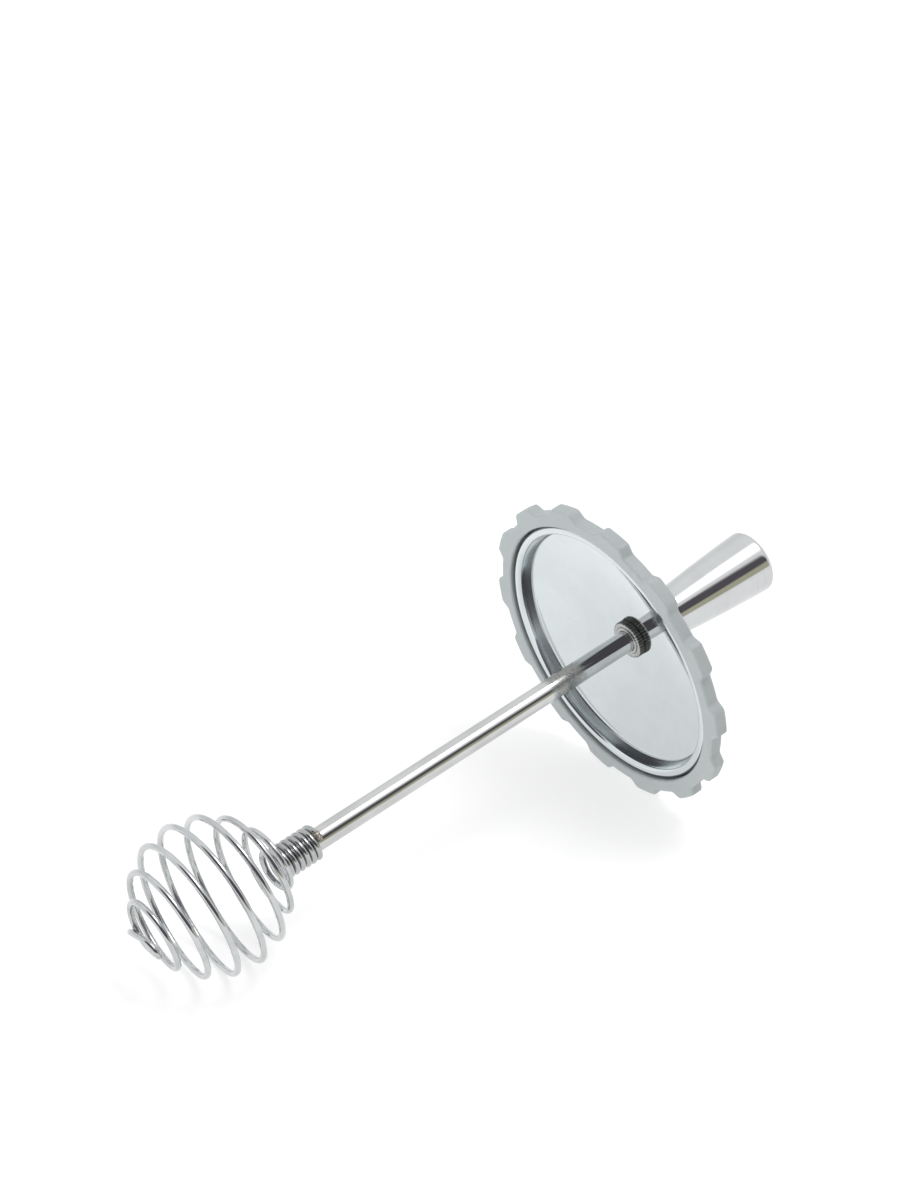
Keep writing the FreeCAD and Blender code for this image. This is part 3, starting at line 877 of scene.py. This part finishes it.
def build_nut():
    """The knurled nut under the plate, its teeth worn unevenly."""
    count = NUT_TEETH * STEPS_PER_TOOTH

    def row(fall, z):
        points = []
        for k in range(count):
            angle = 2 * math.pi * k / count
            wave = abs((k / STEPS_PER_TOOTH) % 1.0 - 0.5) * 2
            where = Vector((math.cos(angle) * 9.0, math.sin(angle) * 9.0, z * 2.5))
            worn = 0.05 * noise.noise(where) - 0.05
            r = NUT_R - TOOTH_DEPTH * (1 - wave) + worn * wave - fall
            points.append((r * math.cos(angle), r * math.sin(angle), z))
        return points

    rows = [circle(BARREL_R, NUT_END_Z, count), circle(BARREL_R, NUT_START_Z + 0.12, count)]
    rows.append(circle(BARREL_R + 0.12, NUT_START_Z, count))
    rows.append(row(NUT_CHAMFER + 0.04, NUT_START_Z))
    rows.append(row(NUT_CHAMFER * 0.45, NUT_START_Z + NUT_CHAMFER * 0.4))
    rows.append(row(0.03, NUT_START_Z + NUT_CHAMFER * 1.1))
    levels = 7
    low = NUT_START_Z + NUT_CHAMFER * 1.5
    high = NUT_END_Z - 0.2
    rows += [row(0.0, low + (high - low) * i / levels) for i in range(levels + 1)]
    rows.append(row(0.16, NUT_END_Z))
    new_piece("collar_nut", *stacked(rows), KNURLED_STEEL, "lid", "knurled_steel", "collar_nut")


def build_washer():
    """The flat rubber washer between the bush's head and the plate, its rim squeezed round."""
    outline = rounded([
        (BARREL_R, PLATE_TOP_Z),
        (WASHER_R, PLATE_TOP_Z, 0.2),
        (WASHER_R, SHOULDER_Z, 0.2),
        (BARREL_R, SHOULDER_Z),
    ])
    new_piece("seal_washer", *lathe(outline), RUBBER, "lid", "seal_rubber", "seal_washer")


build_rod()
build_handle()
build_end_cap()
wire_end, wire_run = build_wire()
build_weld(wire_end, wire_run)
build_plate()
build_ring()
build_bush()
build_nut()
build_washer()

for node_name, material in (("handle_insert", TURNED_STEEL), ("shaft_seal", RUBBER)):
    kept = frame["nodes"][node_name]
    kept.data.materials.clear()
    kept.data.materials.append(material)


# ---------------------------------------------------------------- floor, light and camera

def heading(azimuth, elevation):
    """The direction at an azimuth from +Y towards +X and an elevation, in degrees."""
    a, e = math.radians(azimuth), math.radians(elevation)
    return Vector((math.sin(a) * math.cos(e), math.cos(a) * math.cos(e), math.sin(e)))


FLOOR_HALF = 15.0
SIGNS = [(-1, -1), (1, -1), (1, 1), (-1, 1)]
floor_mesh = bpy.data.meshes.new("floor")
corners = [(FLOOR_HALF * x, FLOOR_HALF * y, 0.0) for x, y in SIGNS]
floor_mesh.from_pydata(corners, [], [range(4)])
floor_mesh.materials.append(floor_material())
floor = bpy.data.objects.new("floor", floor_mesh)
bpy.context.scene.collection.objects.link(floor)

KEY_AZIMUTH = 128.0
KEY_ELEVATION = 70.0
KEY_DISTANCE = 1.3
KEY_SIZE = 0.5
KEY_POWER = 4.6
FILL_AZIMUTH = 258.0
FILL_ELEVATION = 8.0
FILL_DISTANCE = 1.3
FILL_SIZE = 0.9
FILL_POWER = 9.5
LIT_POINT = Vector((0.0, 0.0, 0.03))


def disc_light(name, direction, distance, size, power):
    """A round area light that looks at the beater from a direction."""
    data = bpy.data.lights.new(name, "AREA")
    data.shape = "DISK"
    data.size = size
    data.energy = power
    light = bpy.data.objects.new(name, data)
    bpy.context.scene.collection.objects.link(light)
    light.location = LIT_POINT + direction * distance
    light.rotation_euler = direction.to_track_quat("Z", "Y").to_euler()
    return light


KEY_DIRECTION = heading(KEY_AZIMUTH, KEY_ELEVATION)
FILL_DIRECTION = heading(FILL_AZIMUTH, FILL_ELEVATION)
disc_light("key", KEY_DIRECTION, KEY_DISTANCE, KEY_SIZE, KEY_POWER)
fill = disc_light("fill", FILL_DIRECTION, FILL_DISTANCE, FILL_SIZE, FILL_POWER)
fill.visible_glossy = False

# A white tent, brightest behind the key light. Two gaps in it draw the dark streaks along polished
# metal, and an olive wall shows low in the first gap.
GAP_AZIMUTH = 196.0
UPPER_GAP_AZIMUTH = 255.0
UPPER_GAP_ELEVATION = 45.0
WALL_AZIMUTH = 150.0
PALE_LOW = (0.80, 0.81, 0.82, 1.0)
PALE_HIGH = (0.90, 0.905, 0.91, 1.0)
PANEL = (2.2, 2.2, 2.2, 1.0)
DARK = (0.105, 0.095, 0.11, 1.0)
OLIVE = (0.46, 0.455, 0.33, 1.0)
TENT_STRENGTH = 1.18
world = bpy.data.worlds.new("tent")
bpy.context.scene.world = world
world.use_nodes = True
tent = world.node_tree
direction = tent.nodes.new("ShaderNodeTexCoord").outputs["Generated"]
height = add(tent, "ShaderNodeSeparateXYZ", {"Vector": direction}).outputs["Z"]


def near(centre, start, full):
    """A round patch of the tent about a direction, by the cosines where it starts and is full."""
    sockets = {0: direction, 1: centre}
    cosine = add(tent, "ShaderNodeVectorMath", sockets, operation="DOT_PRODUCT").outputs["Value"]
    return ranged(tent, cosine, start, full)


gap = near(heading(GAP_AZIMUTH, 0), 0.50, 0.64)
gap = maths(tent, "MULTIPLY", gap, ranged(tent, height, -0.02, 0.04))
gap = maths(tent, "MULTIPLY", gap, ranged(tent, height, 0.72, 0.84, 1.0, 0.0))
upper_gap = near(heading(UPPER_GAP_AZIMUTH, UPPER_GAP_ELEVATION), 0.80, 0.90)
gap = maths(tent, "MAXIMUM", gap, upper_gap)
light = mixed(tent, ranged(tent, height, 0.3, 0.8), PALE_LOW, PALE_HIGH)
light = mixed(tent, near(KEY_DIRECTION, 0.935, 1.01), light, PANEL)
low_wall = near(heading(WALL_AZIMUTH, 0), 0.80, 0.90)
low_wall = maths(tent, "MULTIPLY", ranged(tent, height, 0.25, 0.36, 1.0, 0.0), low_wall)
shown = mixed(tent, gap, light, mixed(tent, low_wall, DARK, OLIVE))
tent.links.new(shown, tent.nodes["Background"].inputs["Color"])
tent.nodes["Background"].inputs["Strength"].default_value = TENT_STRENGTH

CAMERA_AZIMUTH = -37.694
CAMERA_ELEVATION = 30.942
CAMERA_ROLL = -0.417
CAMERA_DISTANCE = 0.7044
AIM = Vector((0.005698, 0.014873, 0.067444))
camera_data = bpy.data.cameras.new("camera")
camera_data.lens = 82.7145
camera_data.sensor_width = 36.0
camera_data.clip_start = 0.05
camera = bpy.data.objects.new("camera", camera_data)
bpy.context.scene.collection.objects.link(camera)
turn = Matrix.Rotation(math.radians(CAMERA_AZIMUTH), 4, "Z")
turn = turn @ Matrix.Rotation(math.radians(90 - CAMERA_ELEVATION), 4, "X")
turn = turn @ Matrix.Rotation(math.radians(CAMERA_ROLL), 4, "Z")
camera_place = AIM + turn.to_3x3() @ Vector((0, 0, CAMERA_DISTANCE))
camera.matrix_world = Matrix.Translation(camera_place) @ turn
bpy.context.scene.camera = camera
bpy.context.scene.view_settings.view_transform = "Standard"
